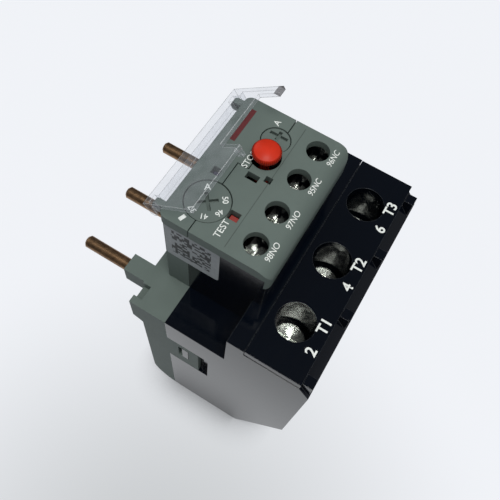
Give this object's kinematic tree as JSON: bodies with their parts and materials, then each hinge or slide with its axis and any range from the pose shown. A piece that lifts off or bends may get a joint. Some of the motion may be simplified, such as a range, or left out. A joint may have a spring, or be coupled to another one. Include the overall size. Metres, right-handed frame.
{
  "type": "thermal overload relay",
  "caption": "Thermal overload relay with round line pins, box clamp terminals, setting dial, red stop button, reset knob, auxiliary screw terminals and a clear flip lid.",
  "frame": {"origin": "on the back plane, in the middle of the housing's width, 30.2 mm from the terminal end wall", "axes": "+Z out of the front face with the dial and buttons, +Y towards the three line pins, +X from pole 1 to pole 3"},
  "size_m": [0.0728, 0.0851, 0.1321],
  "materials": {
    "black_housing": "moulded, semi-gloss black",
    "black_core": "moulded black",
    "grey_housing": "moulded greenish grey, fine grain",
    "dial": "moulded grey with white printing",
    "grey_knob": "moulded grey",
    "red_button": "moulded red",
    "red_plunger": "moulded dull red",
    "black_stem": "moulded black",
    "clear_lid": "clear moulded plastic",
    "flag": "moulded dark blue-grey",
    "lever": "moulded black",
    "slide": "pressed insulating board",
    "zinc_screw": "bright zinc plated steel",
    "zinc_clamp": "zinc plated steel",
    "copper_pin": "tarnished copper",
    "copper_bar": "copper strip",
    "brass_contact": "brass strip",
    "bimetal": "rolled bimetal strip with wound heater",
    "steel_pin": "drawn steel",
    "spring_wire": "spring steel wire"
  },
  "bodies": {
    "housing": {"main_body": "black_housing", "terminal_cover": "black_housing", "end_housing": "grey_housing", "line_pin_1": "copper_pin", "busbar_1": "copper_bar", "bimetal_1": "bimetal", "line_pin_2": "copper_pin", "busbar_2": "copper_bar", "bimetal_2": "bimetal", "line_pin_3": "copper_pin", "busbar_3": "copper_bar", "bimetal_3": "bimetal", "control_housing": "black_core", "front_cover_upper": "grey_housing", "front_cover_lower": "grey_housing", "aux_screw_1": "zinc_screw", "aux_saddle_1": "zinc_clamp", "aux_contact_1": "brass_contact", "aux_screw_2": "zinc_screw", "aux_saddle_2": "zinc_clamp", "aux_contact_2": "brass_contact", "aux_screw_3": "zinc_screw", "aux_saddle_3": "zinc_clamp", "aux_contact_3": "brass_contact", "aux_screw_4": "zinc_screw", "aux_saddle_4": "zinc_clamp", "aux_contact_4": "brass_contact", "stop_spring": "spring_wire", "reset_spring": "spring_wire", "lever_pin": "steel_pin"},
    "clamp_screw_1": {"terminal_screw_1": "zinc_screw"},
    "clamp_1": {"clamp_cage_1": "zinc_clamp"},
    "clamp_screw_2": {"terminal_screw_2": "zinc_screw"},
    "clamp_2": {"clamp_cage_2": "zinc_clamp"},
    "clamp_screw_3": {"terminal_screw_3": "zinc_screw"},
    "clamp_3": {"clamp_cage_3": "zinc_clamp"},
    "dial": {"setting_dial": "dial"},
    "stop": {"stop_button": "red_button"},
    "reset": {"reset_stem": "black_stem"},
    "reset_mode": {"reset_knob": "grey_knob"},
    "slide": {"trip_slide": "slide"},
    "lever": {"trip_lever": "lever"},
    "flag": {"trip_flag": "flag"},
    "test": {"test_plunger": "red_plunger"},
    "lid": {"flip_lid": "clear_lid"}
  },
  "joints": [
    {"name": "clamp_screw_1_turn", "type": "hinge", "parent": "housing", "child": "clamp_screw_1", "pos_m": [-0.02155, -0.017, 0.08], "axis": [0, 0, -1], "range_deg": [0, 1260.2]},
    {"name": "clamp_1_lift", "type": "slide", "parent": "housing", "child": "clamp_1", "axis": [0, 0, 1], "range_m": [0, 0.0035]},
    {"name": "clamp_screw_2_turn", "type": "hinge", "parent": "housing", "child": "clamp_screw_2", "pos_m": [0.00045, -0.017, 0.08], "axis": [0, 0, -1], "range_deg": [0, 1260.2]},
    {"name": "clamp_2_lift", "type": "slide", "parent": "housing", "child": "clamp_2", "axis": [0, 0, 1], "range_m": [0, 0.0035]},
    {"name": "clamp_screw_3_turn", "type": "hinge", "parent": "housing", "child": "clamp_screw_3", "pos_m": [0.02245, -0.017, 0.08], "axis": [0, 0, -1], "range_deg": [0, 1260.2]},
    {"name": "clamp_3_lift", "type": "slide", "parent": "housing", "child": "clamp_3", "axis": [0, 0, 1], "range_m": [0, 0.0035]},
    {"name": "dial_turn", "type": "hinge", "parent": "housing", "child": "dial", "pos_m": [-0.01342, 0.01714, 0.12], "axis": [0, 0, 1], "range_deg": [-151, 0]},
    {"name": "stop_push", "type": "slide", "parent": "housing", "child": "stop", "axis": [0, 0, -1], "range_m": [0, 0.0015], "stiffness_N_per_m": 300, "springref_m": -0.003, "deforming": ["stop_spring"]},
    {"name": "reset_push", "type": "slide", "parent": "housing", "child": "reset", "axis": [0, 0, -1], "range_m": [0, 0.0015], "stiffness_N_per_m": 300, "springref_m": -0.003, "deforming": ["reset_spring"]},
    {"name": "reset_mode_turn", "type": "hinge", "parent": "reset", "child": "reset_mode", "pos_m": [0.0126, 0.0119, 0.12], "axis": [0, 0, -1], "range_deg": [0, 60]},
    {"name": "trip_slide_push", "type": "slide", "parent": "housing", "child": "slide", "axis": [1, 0, 0], "range_m": [0, 0.0015], "stiffness_N_per_m": 300, "springref_m": -0.001},
    {"name": "trip_lever_turn", "type": "hinge", "parent": "housing", "child": "lever", "pos_m": [-0.0045, 0.0081, 0.097], "axis": [0, -1, 0], "range_deg": [0, 10.4]},
    {"name": "trip_flag_shift", "type": "slide", "parent": "housing", "child": "flag", "axis": [-1, 0, 0], "range_m": [0, 0.00293]},
    {"name": "test_push", "type": "slide", "parent": "housing", "child": "test", "axis": [0, 0, -1], "range_m": [0, 0.00166]},
    {"name": "lid_turn", "type": "hinge", "parent": "housing", "child": "lid", "pos_m": [0, 0.0274, 0.1193], "axis": [-1, 0, 0], "range_deg": [-37, 63]}
  ],
  "couplings": [
    {"joint": "clamp_screw_1_turn", "follows": "clamp_1_lift", "rad_per_m": 6283.2},
    {"joint": "clamp_screw_2_turn", "follows": "clamp_2_lift", "rad_per_m": 6283.2},
    {"joint": "clamp_screw_3_turn", "follows": "clamp_3_lift", "rad_per_m": 6283.2},
    {"joint": "trip_lever_turn", "follows": "trip_slide_push", "rad_per_m": 120},
    {"joint": "trip_flag_shift", "follows": "trip_slide_push", "ratio": 1.95},
    {"joint": "test_push", "follows": "trip_slide_push", "ratio": 1.1}
  ]
}
